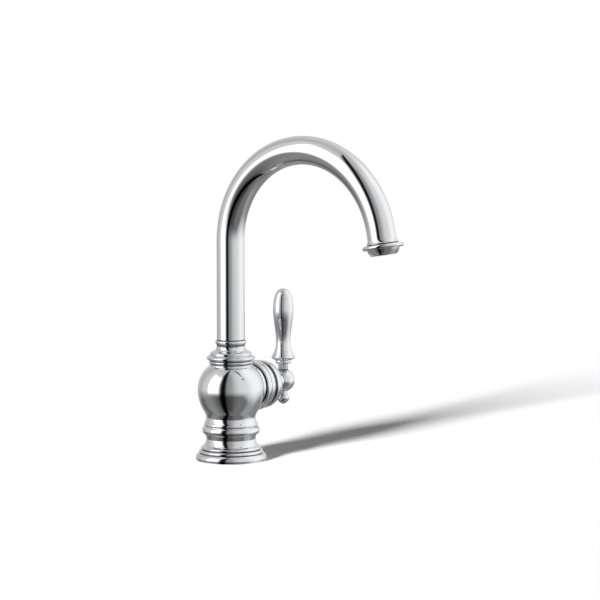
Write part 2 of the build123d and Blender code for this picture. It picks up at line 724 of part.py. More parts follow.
def cartridge_base():
    """Plastic nose of the cartridge with the two ports, under the fixed disc."""
    nose = on_valve(rod(BASE_NOSE_R, base_seat_x, SHOULDER_X) + rod(CARTRIDGE_R, SHOULDER_X, disc_x))
    return nose - both_ports(PORT_HOLE_R, base_seat_x - OVERRUN, disc_x + OVERRUN)


def sector(inner, outer, low, high, start, end):
    """A slice of a ring on Z between two angles in degrees, less than a half turn apart."""
    reach = 3 * outer
    angles = [radians(angle) for angle in (start, (start + end) / 2, end)]
    rays = [(reach * cos(angle), reach * sin(angle)) for angle in angles]
    wedge = extrude(make_face(Polyline((0, 0), *rays, close=True)), high - low)
    return pipe(outer, inner, low, high) & (Pos(0, 0, low) * wedge)


def cartridge_sleeve():
    """Barrel of the cartridge, with the lug that stops the stem at each end of its quarter turn."""
    inner_r = CARTRIDGE_R - CARTRIDGE_WALL
    sleeve = pipe(CARTRIDGE_R, inner_r, disc_x, GLAND_X)
    sleeve += pipe(inner_r + SNUG, STEM_SEAL_BORE_R, GLAND_X - 2 * CARTRIDGE_END_WALL - STEM_SEAL_W, GLAND_X)
    sleeve -= rod(STEM_SEAL_BORE_R, 0, GLAND_X - CARTRIDGE_END_WALL)
    sleeve += pipe(STEM_SEAL_BORE_R + SNUG, STEM_R + RUNNING, GLAND_X - CARTRIDGE_END_WALL, GLAND_X)
    lug = sector(
        STOP_ROOT_R + HOLE_GAP,
        inner_r + SNUG,
        stem_flange_x,
        stem_flange_x + STEM_FLANGE_T,
        -STOP_HALF_ANGLE,
        STOP_HALF_ANGLE,
    )
    return on_valve(sleeve + lug)


def fixed_disc():
    """Ceramic disc with the two ports, keyed to the cartridge."""
    disc = on_valve(rod(DISC_R, disc_x, disc_x + DISC_T))
    return disc - both_ports(PORT_HOLE_R, disc_x - OVERRUN, disc_x + DISC_T + OVERRUN)


def moving_disc():
    """Ceramic disc with the channel that joins the ports when the handle is turned down."""
    channel = SlotOverall(PORT_SPACING + 2 * PORT_HOLE_R, 2 * PORT_HOLE_R, rotation=90)
    pocket = Pos(0, 0, disc_x + DISC_T) * extrude(channel, DISC_CHANNEL_DEPTH)
    return on_valve(rod(DISC_R, disc_x + DISC_T, disc_x + 2 * DISC_T) - pocket)


def valve_stem():
    """Stem from the moving disc to the hub, with a flange notched for the stop lug and a flatted tip."""
    flange_end = stem_flange_x + STEM_FLANGE_T
    stem = rod(STEM_FLANGE_R, stem_flange_x, flange_end) + rod(STEM_R, flange_end, STEM_STEP_X)
    tip = rod(STEM_TIP_R, STEM_STEP_X, STEM_TIP_X)
    flat = Pos(0, STEM_TIP_FLAT, STEM_STEP_X) * Box(
        2 * STEM_R, STEM_R, STEM_TIP_X, align=(Align.CENTER, Align.MIN, Align.MIN)
    )
    half = STEM_SEAL_W / 2
    groove = pipe(STEM_R + OVERRUN, STEM_R - STEM_SEAL_DEPTH, STEM_SEAL_X - half, STEM_SEAL_X + half)
    margin = STOP_HALF_ANGLE + STOP_PLAY
    notch = sector(
        STOP_ROOT_R,
        STEM_FLANGE_R + OVERRUN,
        stem_flange_x - OVERRUN,
        flange_end + OVERRUN,
        -HANDLE_TRAVEL - margin,
        margin,
    )
    return on_valve(stem + (tip - flat) - groove - notch)


def stem_seal():
    """O-ring on the stem, inside the cartridge's end."""
    inner, outer = STEM_R - STEM_SEAL_DEPTH + SNUG, STEM_SEAL_BORE_R - RUNNING
    return on_valve(ring_seal((inner + outer) / 2, (outer - inner) / 2, STEM_SEAL_X))


def gland_nut():
    """Threaded ring that holds the cartridge down, with two spanner holes."""
    nut = pipe(GLAND_THREAD_R - SNUG, STEM_R + HOLE_GAP, GLAND_X, GLAND_X + GLAND_T)
    for side in (-1, 1):
        nut -= Pos(0, side * (GLAND_THREAD_R + STEM_R) / 2, 0) * rod(
            SPANNER_HOLE_R, GLAND_X + GLAND_T - SPANNER_HOLE_DEPTH, GLAND_X + GLAND_T + OVERRUN
        )
    return on_valve(nut)


def handle_hub():
    """Ball with a neck that turns in the bonnet, bored for the stem, the lever's stud and a set screw."""
    neck_start = BONNET_WEB_X + FACE_GAP
    hub = on_valve(rod(HUB_NECK_R, neck_start, HUB_X)) + on_hub(Sphere(HUB_R))
    socket = rod(STEM_TIP_R + SNUG, neck_start - OVERRUN, STEM_TIP_X + FACE_GAP)
    flat = Pos(0, STEM_TIP_FLAT + SNUG, neck_start + OVERRUN) * Box(
        2 * STEM_R, STEM_R, STEM_TIP_X, align=(Align.CENTER, Align.MIN, Align.MIN)
    )
    counterbore = rod(STEM_R + SNUG, neck_start - OVERRUN, STEM_STEP_X + SNUG)
    hub -= on_valve((socket - flat) + counterbore)
    hub -= on_hub(rod(STUD_R + SNUG, -2 * HUB_R, 2 * HUB_R))
    screw_hole = rod(SET_SCREW_R + SNUG, STEM_TIP_FLAT, HUB_R)
    return hub - Pos(SET_SCREW_X, 0, VALVE_Z) * Rot(-90, 0, 0) * screw_hole


def hub_set_screw():
    """Socket screw at the back of the neck that bears on the stem's flat."""
    screw = rod(SET_SCREW_R, STEM_TIP_FLAT + SNUG, HUB_NECK_R - SET_SCREW_SINK)
    key = hex_bar(HEX_KEY, HUB_NECK_R - SET_SCREW_SINK - HEX_KEY_DEPTH, HUB_NECK_R + OVERRUN)
    return Pos(SET_SCREW_X, 0, VALVE_Z) * Rot(-90, 0, 0) * (screw - key)


def lever_spacer():
    """Short neck with a ring, seated on the ball under the lever."""
    spacer = turned(
        (STUD_R + SNUG, 0),
        (SPACER_R, 0),
        (SPACER_R, SPACER_TOP),
        (SPACER_RING_R - SPACER_RING_BOW, SPACER_TOP),
        (SPACER_RING_R - SPACER_RING_BOW, SPACER_TOP + SPACER_RING_H, SPACER_RING_BOW),
        (STUD_R + SNUG, SPACER_TOP + SPACER_RING_H),
    )
    return on_hub(spacer - Sphere(HUB_R))


def lever():
    """Baluster lever: a flared foot, a waist, a long belly and a round top, on the stud that holds it."""
    foot_z = SPACER_TOP + SPACER_RING_H
    rim_z = foot_z + LEVER_FOOT_H
    rise = LEVER_WAIST_Z - rim_z
    swell = LEVER_BELLY_Z - LEVER_WAIST_Z
    crown = LEVER_TOP_Z - LEVER_BELLY_Z
    foot, rim = (SPACER_RING_R, foot_z), (LEVER_FOOT_R, rim_z)
    waist, belly, top = (LEVER_WAIST_R, LEVER_WAIST_Z), (LEVER_BELLY_R, LEVER_BELLY_Z), (0, LEVER_TOP_Z)
    outline = [
        Line((0, -STUD_END_DROP), (STUD_R, -STUD_END_DROP)),
        Line((STUD_R, -STUD_END_DROP), (STUD_R, foot_z)),
        Line((STUD_R, foot_z), foot),
        Bezier(foot, (LEVER_FOOT_R - 0.4, foot_z + 0.5 * LEVER_FOOT_H), (LEVER_FOOT_R, rim_z - 0.8), rim),
        Bezier(rim, (LEVER_FOOT_R - 1.7, rim_z + 0.17 * rise), (LEVER_WAIST_R, rim_z + 0.6 * rise), waist),
        Bezier(
            waist,
            (LEVER_WAIST_R, LEVER_WAIST_Z + 0.36 * swell),
            (LEVER_BELLY_R, LEVER_BELLY_Z - 0.34 * swell),
            belly,
        ),
        Bezier(
            belly,
            (LEVER_BELLY_R, LEVER_BELLY_Z + 0.65 * crown),
            (0.65 * LEVER_BELLY_R, LEVER_TOP_Z),
            top,
        ),
        Line(top, (0, -STUD_END_DROP)),
    ]
    return on_hub(revolve(Plane.XZ * make_face(outline), Axis.Z))


def finial():
    """Acorn nut under the hub, screwed onto the end of the stud."""
    acorn = turned(
        (0, -FINIAL_END_DROP),
        (FINIAL_R, -FINIAL_DROP - FINIAL_BAND_H, FINIAL_END_BOW),
        (FINIAL_R, -FINIAL_DROP),
        (FINIAL_NECK_R, -FINIAL_DROP + FINIAL_SHOULDER_H),
        (FINIAL_NECK_R, 0),
        (0, 0),
    )
    return on_hub(acorn - Sphere(HUB_R) - rod(STUD_R + SNUG, -STUD_END_DROP - STUD_END_ROOM, OVERRUN))


def threaded(radius, low, high):
    """A round bar with ring grooves in place of the thread's helix."""
    bar = rod(radius, low, high)
    turns = int((high - low) / THREAD_PITCH)
    half_width = THREAD_GROOVE * THREAD_PITCH / 2
    cutter = turned(
        (radius - THREAD_DEPTH, 0),
        (radius, -half_width),
        (radius + OVERRUN, -half_width),
        (radius + OVERRUN, half_width),
        (radius, half_width),
    )
    return bar - [Pos(0, 0, low + (turn + 0.5) * THREAD_PITCH) * cutter for turn in range(turns)]


def shank():
    """Threaded tube from the column down through the worktop, with the shoulder that clamps the base."""
    web_z = BASE_TOP_Z - BASE_WEB
    bar = threaded(SHANK_R, SHANK_LOW_Z, web_z - SHANK_SHOULDER_H)
    bar += rod(SHANK_R, web_z - SHANK_SHOULDER_H, SHANK_TOP_Z)
    bar += rod(SHANK_SHOULDER_R, web_z - SHANK_SHOULDER_H, web_z)
    return bar - rod(SHANK_BORE_R, SHANK_LOW_Z - OVERRUN, SHANK_TOP_Z + OVERRUN)


def rubber_washer():
    """Soft washer under the worktop."""
    return pipe(WASHER_R, SHANK_R + HOLE_GAP, washer_top_z - RUBBER_T, washer_top_z)


def steel_washer():
    """Steel washer under the soft one."""
    return pipe(WASHER_R, SHANK_R + HOLE_GAP, nut_top_z, nut_top_z + STEEL_T)


def mounting_nut():
    """Hexagonal nut that pulls the faucet down onto the worktop."""
    nut = hex_bar(NUT_ACROSS, nut_top_z - NUT_H, nut_top_z)
    nut &= turned(
        (0, nut_top_z - NUT_H),
        (NUT_ACROSS / 2, nut_top_z - NUT_H),
        (NUT_ACROSS, nut_top_z - NUT_H + NUT_ACROSS / 2 * NUT_BEVEL),
        (NUT_ACROSS, nut_top_z),
        (0, nut_top_z),
    )
    return nut - rod(SHANK_R + SNUG, nut_top_z - NUT_H - OVERRUN, nut_top_z + OVERRUN)


def inlet_tube():
    """Copper tube from the column down through the shank."""
    return pipe(INLET_R, INLET_BORE_R, INLET_LOW_Z, SHANK_TOP_Z + INLET_SOCKET_H)


def inlet_adapter():
    """Brass end of the inlet: a socket for the tube, a spanner hexagon and the supply hose's thread."""
    socket_low = INLET_LOW_Z
    hex_low = socket_low - ADAPTER_HEX_H
    solid = rod(ADAPTER_NECK_R, socket_low, socket_low + ADAPTER_NECK_H)
    solid += hex_bar(ADAPTER_HEX, hex_low, socket_low)
    solid += rod(ADAPTER_R, hex_low - ADAPTER_THREAD_L, hex_low)
    solid -= rod(INLET_BORE_R, hex_low - ADAPTER_THREAD_L - OVERRUN, socket_low)
    return solid - rod(INLET_R + SNUG, socket_low, socket_low + ADAPTER_NECK_H + OVERRUN)


PIECES = (
    base_flange,
    base_gasket,
    body_shell,
    waterway_column,
    spout_collar,
    upper_bush,
    lower_bush,
    cartridge_housing,
    boss_flange,
    bonnet,
    cartridge_seal,
    cartridge_base,
    cartridge_sleeve,
    fixed_disc,
    gland_nut,
    shank,
    rubber_washer,
    steel_washer,
    mounting_nut,
    inlet_tube,
    inlet_adapter,
    spout_tube,
    spout_ferrule,
    spout_spigot,
    spout_seals,
    spout_clip,
    outlet_collar,
    aerator_housing,
    aerator_washer,
    aerator_screen,
    aerator_insert,
    moving_disc,
    valve_stem,
    stem_seal,
    handle_hub,
    hub_set_screw,
    lever_spacer,
    lever,
    finial,
)

os.makedirs("parts", exist_ok=True)
for piece in PIECES:
    export_step(piece(), f"parts/{piece.__name__}.step")
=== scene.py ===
import json
import math

import bmesh
import bpy
import numpy as np
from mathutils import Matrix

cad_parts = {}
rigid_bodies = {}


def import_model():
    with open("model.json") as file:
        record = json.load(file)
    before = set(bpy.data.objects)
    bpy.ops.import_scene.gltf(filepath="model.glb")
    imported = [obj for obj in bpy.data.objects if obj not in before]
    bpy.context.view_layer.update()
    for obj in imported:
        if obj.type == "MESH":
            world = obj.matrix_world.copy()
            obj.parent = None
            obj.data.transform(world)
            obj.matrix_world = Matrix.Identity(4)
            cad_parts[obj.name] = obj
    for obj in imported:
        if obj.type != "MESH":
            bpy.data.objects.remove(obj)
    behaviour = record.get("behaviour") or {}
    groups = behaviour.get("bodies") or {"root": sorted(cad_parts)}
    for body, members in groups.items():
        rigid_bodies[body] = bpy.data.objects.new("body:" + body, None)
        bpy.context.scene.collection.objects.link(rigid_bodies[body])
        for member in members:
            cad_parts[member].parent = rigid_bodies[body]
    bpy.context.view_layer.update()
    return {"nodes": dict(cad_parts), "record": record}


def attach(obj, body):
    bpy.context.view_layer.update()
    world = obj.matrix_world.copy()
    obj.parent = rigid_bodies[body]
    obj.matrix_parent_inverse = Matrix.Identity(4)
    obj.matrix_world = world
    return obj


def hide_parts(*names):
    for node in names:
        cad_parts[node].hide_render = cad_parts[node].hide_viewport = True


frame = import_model()

# Everything below is worked out in millimetres and becomes metres as it goes into a mesh. +Z is up, the spout
# points along -Y and the handle stands out along +X.
MM = 0.001

# Heights and radii that several pieces share
VALVE_Z = 56.3
WAIST_R = 19.6
BASE_TOP_Z = 17.0
# The bulb is widest at the valve's height and runs from its low end up to its neck, which the rim stands on
BULB_R = 26.4
BULB_LOW_R = 21.6
BULB_LOW_Z = 39.2
BULB_NECK_R = 17.3
BULB_NECK_Z = 74.9
BULB_RIM_R = 17.0
BULB_TOP_Z = 76.3
COLLAR_TOP_Z = 91.7
SPOUT_LOW_Z = 92.6
TUBE_R = 11.1
TUBE_WALL = 1.2
ARCH_R = 73.9
ARCH_Z = 174.3
ARCH_END = math.radians(10.5)
TUBE_TAIL = 5.0
TUBE_SEAT = 4.0
HOUSING_R = 14.4
HUB_X = 67.6
HUB_R = 9.4
HUB_NECK_R = 6.3
HUB_NECK_X = 46.75
STUD_R = 2.9
SHANK_R = 8.33
SHANK_BORE_R = 5.4
SHANK_HOLE_R = 8.68
SET_SCREW_X = 56.2
SET_SCREW_R = 1.52

# Gaps between fixed pieces and between pieces that turn
SNUG = 0.02
RUNNING = 0.06

ROUND_SEGMENTS = 160


# Profiles

def arc(start, end, bow):
    """Points of a circular arc from start to end whose middle lies bow to the right of the straight way: the
    circle's centre is on the chord's middle line, and the angle runs evenly."""
    way = end - start
    chord = np.hypot(*way)
    radius = (chord**2 / 4 + bow**2) / (2 * abs(bow))
    half = math.asin(min(chord / 2 / radius, 1.0))
    angle = np.linspace(-half, half, 90)[:, None]
    ahead, right = way / chord, np.array([way[1], -way[0]]) / chord
    across = np.sign(bow) * (radius * np.cos(angle) - radius * math.cos(half))
    return start + ahead * (chord / 2 + radius * np.sin(angle)) + right * across


def bezier(start, first, second, end):
    """Points of a cubic Bezier: the four corners weighted by the Bernstein polynomials of t."""
    t = np.linspace(0, 1, 160)[:, None]
    return (1 - t) ** 3 * start + 3 * t * (1 - t) ** 2 * first + 3 * t**2 * (1 - t) * second + t**3 * end


def outline(stations, spacing=0.5, turn=6.5):
    """Profile points (radius, height) through stations (radius, height, rounding, bend). A bend is the bow of
    an arc that ends at the station, or the two control points of a Bezier. Each corner is rounded by
    averaging the path over up to its rounding on either side, and the points are then spread so that neither
    their spacing nor the turn between them is large."""
    runs, corners = [], []
    for before, station in zip(stations, stations[1:]):
        start, end = np.array(before[:2], float), np.array(station[:2], float)
        bend = station[3] if len(station) > 3 else 0
        if isinstance(bend, tuple):
            points = bezier(start, np.array(bend[0]), np.array(bend[1]), end)
        elif bend:
            points = arc(start, end, bend)
        else:
            points = start + (end - start) * np.linspace(0, 1, 40)[:, None]
        runs.append(points if not runs else points[1:])
        corners.append((sum(len(run) for run in runs) - 1, station[2] if len(station) > 2 else 0.15))
    path = np.concatenate(runs)
    along = np.concatenate([[0], np.cumsum(np.hypot(*np.diff(path, axis=0).T))])
    fine = np.linspace(0, along[-1], int(along[-1] / 0.02) + 2)
    fine = np.sort(np.concatenate([fine, along]))
    dense = np.column_stack([np.interp(fine, along, path[:, axis]) for axis in (0, 1)])
    reach = np.zeros(len(fine))
    for index, rounding in corners[:-1]:
        reach = np.maximum(reach, rounding - np.abs(fine - along[index]))
    steps = np.diff(fine)[:, None]
    total = np.concatenate([np.zeros((1, 2)), np.cumsum((dense[1:] + dense[:-1]) / 2 * steps, axis=0)])
    low, high = np.clip(fine - reach, 0, fine[-1]), np.clip(fine + reach, 0, fine[-1])
    width = np.maximum(high - low, 1e-9)
    mean = np.column_stack([
        (np.interp(high, fine, total[:, axis]) - np.interp(low, fine, total[:, axis])) / width
        for axis in (0, 1)
    ])
    smooth = np.where((reach > 0.01)[:, None], mean, dense)
    # Where a place is in the list twice, this keeps the two apart
    apart = fine + np.arange(len(fine)) * 1e-9
    heading = np.unwrap(np.arctan2(np.gradient(smooth[:, 1], apart), np.gradient(smooth[:, 0], apart)))
    steps_along = np.diff(fine) / spacing + np.abs(np.diff(heading)) / math.radians(turn)
    cost = np.concatenate([[0], np.cumsum(steps_along)])
    pick = np.interp(np.linspace(0, cost[-1], int(cost[-1]) + 2), cost, fine)
    return np.column_stack([np.interp(pick, fine, smooth[:, axis]) for axis in (0, 1)])


def recess(profile, grooves=(), reach=0.8):
    """How far each point of a profile lies in an inner corner, from 0 to 1: the distance by which it falls
    short of the chord between the points a reach before and after it, over that of a right angle. A groove is
    a box (inner radius, outer radius, low, high, depth), and the points in it have at least its depth. The
    chrome darkens its colour by this as painted shade and makes it rougher."""
    along = np.concatenate([[0], np.cumsum(np.hypot(*np.diff(profile, axis=0).T))])
    before, after = [
        np.column_stack([np.interp(along + step, along, profile[:, axis]) for axis in (0, 1)])
        for step in (-reach, reach)
    ]
    way = after - before
    short = (before + after) / 2 - profile
    depth = (short[:, 0] * way[:, 1] - short[:, 1] * way[:, 0]) / np.maximum(np.hypot(*way.T), 1e-9)
    depth = np.clip(depth / (reach * math.sqrt(0.5)), 0, 1)
    for inner, outer, low, high, least in grooves:
        beyond = [profile[:, 0] - outer, inner - profile[:, 0], profile[:, 1] - high, low - profile[:, 1]]
        depth = np.where(np.max(beyond, 0) < 0, np.maximum(depth, least), depth)
    return depth


# Places

def upright(points):
    """Leaves points where they are, about the body's axis."""
    return points


def on_valve(points):
    """Lays a turned shape's axis along +X at the valve's height: (x, y, z) goes to (z, y, VALVE_Z - x)."""
    return np.stack([points[..., 2], points[..., 1], VALVE_Z - points[..., 0]], -1)


def on_hub(points):
    """Moves a turned shape so that its origin is the hub's centre."""
    return points + [HUB_X, 0, VALVE_Z]


def on_outlet(points):
    """Moves a turned shape to the outlet, its heights along the flow from the top of the bead."""
    down = np.array([0, -math.sin(ARCH_END), -math.cos(ARCH_END)])
    back = np.array([0, -math.cos(ARCH_END), math.sin(ARCH_END)])
    side = np.array([1.0, 0, 0])
    arch_end = np.array([0, -ARCH_R * (1 + math.cos(ARCH_END)), ARCH_Z + ARCH_R * math.sin(ARCH_END)])
    bead_top = arch_end + down * TUBE_TAIL
    return bead_top + points[..., :1] * side + points[..., 1:2] * back + points[..., 2:] * down


# Surfaces

def surface(name, points, closed_rows=False, hollow=None):
    """A piece from a grid of points, rows by columns. The columns always join round, the rows join when
    closed, and rows that shrink to one point become a pole. Hollow is each row's recess, which the chrome
    darkens as painted shade."""
    rows, columns = points.shape[:2]
    row = np.arange(rows if closed_rows else rows - 1)[:, None]
    column = np.arange(columns)[None, :]
    after_row, after_column = (row + 1) % rows, (column + 1) % columns
    faces = np.stack([
        row * columns + column,
        row * columns + after_column,
        after_row * columns + after_column,
        after_row * columns + column,
    ], -1).reshape(-1, 4)
    mesh = bpy.data.meshes.new(name)
    mesh.from_pydata((points.reshape(-1, 3) * MM).tolist(), [], faces.tolist())
    if hollow is not None:
        attribute = mesh.attributes.new("recess", "FLOAT", "POINT")
        attribute.data.foreach_set("value", np.repeat(hollow, columns))
    form = bmesh.new()
    form.from_mesh(mesh)
    bmesh.ops.remove_doubles(form, verts=form.verts, dist=1e-7)
    bmesh.ops.recalc_face_normals(form, faces=form.faces)
    form.to_mesh(mesh)
    form.free()
    mesh.shade_smooth()
    piece = bpy.data.objects.new(name, mesh)
    bpy.context.scene.collection.objects.link(piece)
    return piece


def revolved(profile, segments=ROUND_SEGMENTS, place=upright):
    """Grid of a profile turned about Z: at angle a a point of radius r goes to (r cos a, r sin a, height)."""
    angle = np.linspace(0, 2 * math.pi, segments, endpoint=False)
    radius, height = profile[:, :1], profile[:, 1:]
    grid = np.stack([radius * np.cos(angle), radius * np.sin(angle), height + 0 * angle], -1)
    return place(grid)


def turned(name, stations, place=upright, ring=True, segments=ROUND_SEGMENTS, spacing=0.5, grooves=(),
           recessed=True):
    """A turned piece. A ring's profile comes back to where it starts, and any other runs from axis to axis.
    When it isn't recessed, none of its corners is made rougher or darkened with painted shade."""
    loop = list(stations) + [stations[0][:2] + (0,)] if ring else stations
    profile = outline(loop, spacing)
    hollow = recess(profile, grooves) if recessed else np.zeros(len(profile))
    if ring:
        profile, hollow = profile[:-1], hollow[:-1]
    return surface(name, revolved(profile, segments, place), closed_rows=ring, hollow=hollow)


def cut(piece, cutter):
    """Takes the cutter's solid out of the piece, for good."""
    step = piece.modifiers.new("opening", "BOOLEAN")
    step.operation, step.object, step.solver = "DIFFERENCE", cutter, "EXACT"
    bpy.context.view_layer.update()
    result = bpy.data.meshes.new_from_object(piece.evaluated_get(bpy.context.evaluated_depsgraph_get()))
    result.name = piece.name
    piece.modifiers.remove(step)
    piece.data = result
    bpy.data.objects.remove(cutter)


def base_flange():
    return turned("base_flange_turned", [
        (SHANK_HOLE_R, 13.0), (16.0, 13.0, 0.4), (16.0, 0, 0.3), (27.9, 0, 0.25), (27.9, 0.8, 0.35),
        (26.0, 5.5, 0.2, 0.9), (24.6, 5.5, 0.1), (24.6, 6.1, 0.1), (25.4, 6.1, 0.12), (24.3, 8.3, 0.2, 0.5),
        (22.7, 8.3, 0.1), (22.7, 9.0, 0.1), (23.7, 9.0, 0.15), (23.7, 10.2, 0.25, 0.15), (23.2, 10.7, 0.2),
        (21.5, 11.9, 0.3), (WAIST_R, BASE_TOP_Z, 0.1, -0.4), (SHANK_HOLE_R, BASE_TOP_Z, 0.2),
    ], grooves=[(22, 23.2, 8.2, 9.1, 1), (24, 25, 5.4, 6.2, 1)])


def upright_radius(width, height):
    """Radius of an arc, width across and height tall, that runs upright at its widest end: the squared chord
    over twice the width."""
    return (width**2 + height**2) / (2 * width)


def bow_to_upright(width, height):
    """Bow of such an arc: its radius less the centre's distance from the chord."""
    radius = upright_radius(width, height)
    return radius - math.sqrt(radius**2 - (width**2 + height**2) / 4)


def body_shell():
    """Pedestal band, two rings and the bulb outside, and a smooth hollow inside, open at the collar and at
    the side for the valve. None of its corners is made rougher or darkened with painted shade."""
    piece = turned("body_shell_turned", [
        (16.6, BASE_TOP_Z), (WAIST_R, BASE_TOP_Z, 0.1), (20.4, 20.3, 0.2), (22.3, 21.5, 0.15, -0.35),
        (22.3, 26.3, 0.25, 0.6), (21.0, 27.1, 0.3), (21.0, 29.9, 0.3, 0.4), (19.6, 34.3, 0.9, -0.4),
        (BULB_LOW_R, BULB_LOW_Z, 1.6, -0.3),
        (BULB_R, VALVE_Z, 0.5, bow_to_upright(BULB_R - BULB_LOW_R, VALVE_Z - BULB_LOW_Z)),
        (BULB_NECK_R, BULB_NECK_Z, 0.25, bow_to_upright(BULB_R - BULB_NECK_R, BULB_NECK_Z - VALVE_Z)),
        (BULB_RIM_R, 75.3, 0.25), (BULB_RIM_R, BULB_TOP_Z, 0.15), (13.2, BULB_TOP_Z, 0.2), (13.2, 73.7, 0.4),
        (23.8, VALVE_Z, 0.5, ((21.0, 70.3), (23.8, 63.3))),
        (16.6, BULB_LOW_Z, 0.6, ((23.8, 49.5), (21.0, 43.5))),
    ], recessed=False)
    cut(piece, turned("side_bore", [(0, 5), (14.75, 5), (14.75, 32), (0, 32)], on_valve, ring=False))
    return piece


def spout_collar():
    return turned("spout_collar_turned", [
        (11.92, BULB_TOP_Z), (15.6, BULB_TOP_Z, 0.1), (15.6, 77.1, 0.1), (16.9, 77.1, 0.12),
        (17.2, 79.1, 0.12, 0.4), (16.6, 79.1, 0.1), (16.6, 80.2, 0.1), (18.7, 80.2, 0.15),
        (18.7, 82.6, 0.25, 0.55), (16.4, 83.8, 0.3, -0.25), (16.4, 85.5, 0.25), (15.8, 86.1, 0.3),
        (13.2, 87.2, 0.35), (11.5, COLLAR_TOP_Z, 0.2, -0.9), (9.62, COLLAR_TOP_Z, 0.1), (9.62, 84.2, 0.1),
        (10.8, 84.2, 0.1), (10.8, 81.4, 0.1), (11.92, 81.4, 0.1),
    ], grooves=[(15, 16.3, 76.2, 77.2, 1), (16, 17.0, 79.0, 80.3, 1)])


def spout_ferrule():
    return turned("spout_ferrule_turned", [
        (TUBE_R + SNUG, SPOUT_LOW_Z), (11.8, SPOUT_LOW_Z, 0.2), (11.8, 95.4, 0.12, 0.6),
        (TUBE_R + SNUG, 94.1, 0.05),
    ])


def spout_tube():
    """The gooseneck: a circle carried up a straight run, round the arch and down the tail. On the run and the
    tail the centre moves along a line, and on the arch it is the arch's centre plus its radius at the swept
    angle. The outside goes from the foot to the outlet and the inside comes back, so the two ends close as
    rings."""
    straight = np.concatenate([[SPOUT_LOW_Z, 95.0, 95.9, 96.5], np.linspace(98.0, ARCH_Z, 56)])
    swept = np.linspace(0, math.pi - ARCH_END, 190)[1:]
    tail = np.linspace(0, TUBE_TAIL + TUBE_SEAT, 12)[1:]
    y = np.concatenate([0 * straight, ARCH_R * (np.cos(swept) - 1)])
    z = np.concatenate([straight, ARCH_Z + ARCH_R * np.sin(swept)])
    y = np.concatenate([y, y[-1] - tail * math.sin(ARCH_END)])
    z = np.concatenate([z, z[-1] - tail * math.cos(ARCH_END)])
    lean = np.concatenate([0 * straight, swept, 0 * tail + swept[-1]])
    angle = np.linspace(0, 2 * math.pi, ROUND_SEGMENTS, endpoint=False)
    x_part, out_part = np.cos(angle), np.sin(angle)
    rounded_end = 0.25
    dull_and_shaded_below_z = 96.0

    def skin(radius, rows):
        out = radius[:, None] * out_part
        return np.stack([
            radius[:, None] * x_part,
            y[rows, None] + out * np.cos(lean[rows, None]),
            z[rows, None] + out * np.sin(lean[rows, None]),
        ], -1)

    rows = np.arange(len(y))
    outer = np.full(len(y), TUBE_R)
    outer[[0, -1]] -= rounded_end
    grid = np.concatenate([skin(outer, rows), skin(np.full(len(y), TUBE_R - TUBE_WALL), rows[::-1])])
    # Painted shade: the tube's outside below that height, inside and just above the ferrule, is darkened and
    # made rougher in full
    painted_shade_by_ferrule = np.concatenate([z < dull_and_shaded_below_z, np.zeros(len(z), bool)]).astype(float)
    return surface("spout_tube_bent", grid, closed_rows=True, hollow=painted_shade_by_ferrule)


def outlet_collar():
    return turned("outlet_collar_turned", [
        (TUBE_R + SNUG, 0), (11.35, 0, 0.1), (12.5, 2.7, 0.15, -0.25), (12.5, 3.0, 0.15), (12.0, 3.0, 0.1),
        (12.0, 3.4, 0.1), (15.2, 3.9, 0.4), (15.2, 7.1, 0.4, 0.8), (13.1, 7.1, 0.2), (13.1, 6.3, 0.1),
        (10.8, 6.3, 0.1), (10.8, 9.3, 0.1), (9.42, 9.3, 0.1), (9.42, 5.0, 0.1), (8.0, 5.0, 0.1),
        (8.0, 4.0, 0.1), (9.9, 4.0, 0.1), (TUBE_R + SNUG, 4.0, 0.1),
    ], on_outlet)


def aerator_housing():
    return turned("aerator_housing_turned", [
        (10.82, 6.35), (12.9, 6.35, 0.15), (12.9, 6.8, 0.3), (10.4, 11.4, 0.3, 0.25), (9.8, 12.0, 0.2, 0.15),
        (8.6, 12.0, 0.15), (8.6, 9.3, 0.1), (10.82, 9.3, 0.1),
    ], on_outlet)


def bulb_reach(across, up):
    """How far along X the bulb's skin stands at a point across and up from the valve's axis. The bulb's
    radius there is its widest less an arc's drop, and the distance is the root of that radius squared less
    across squared."""
    low = upright_radius(BULB_R - BULB_LOW_R, VALVE_Z - BULB_LOW_Z)
    top = upright_radius(BULB_R - BULB_NECK_R, BULB_NECK_Z - VALVE_Z)
    dome = np.where(up < 0, low, top)
    radius = BULB_R - dome + np.sqrt(np.maximum(dome**2 - up**2, 0))
    radius = np.where(up > 0, np.maximum(radius, BULB_RIM_R), radius)
    return np.sqrt(np.maximum(radius**2 - across**2, 0))


def boss_flange():
    """Trim ring of the valve: a turned ring of which every point that would lie inside the bulb is pushed out
    along the valve's axis to the bulb's skin."""
    profile = outline([
        (14.75, 15.0), (18.2, 15.0, 0.1), (18.2, 22.2, 0.4), (17.8, 22.6, 0.3), (16.5, 22.6, 0.25),
        (16.5, 23.7, 0.25), (19.8, 23.7, 0.3), (19.8, 27.9, 0.15, 0.3), (20.1, 28.2, 0.15),
        (19.3, 33.3, 0.4, 0.4), (14.75, 33.3, 0.1), (14.75, 15.0, 0),
    ], 0.4)
    hollow = recess(profile, [(16, 17.2, 22.5, 23.8, 1)])[:-1]
    grid = revolved(profile[:-1])
    bedded = 0.05
    grid[..., 2] = np.maximum(grid[..., 2], bulb_reach(grid[..., 1], -grid[..., 0]) - bedded)
    return surface("boss_flange_turned", on_valve(grid), closed_rows=True, hollow=hollow)


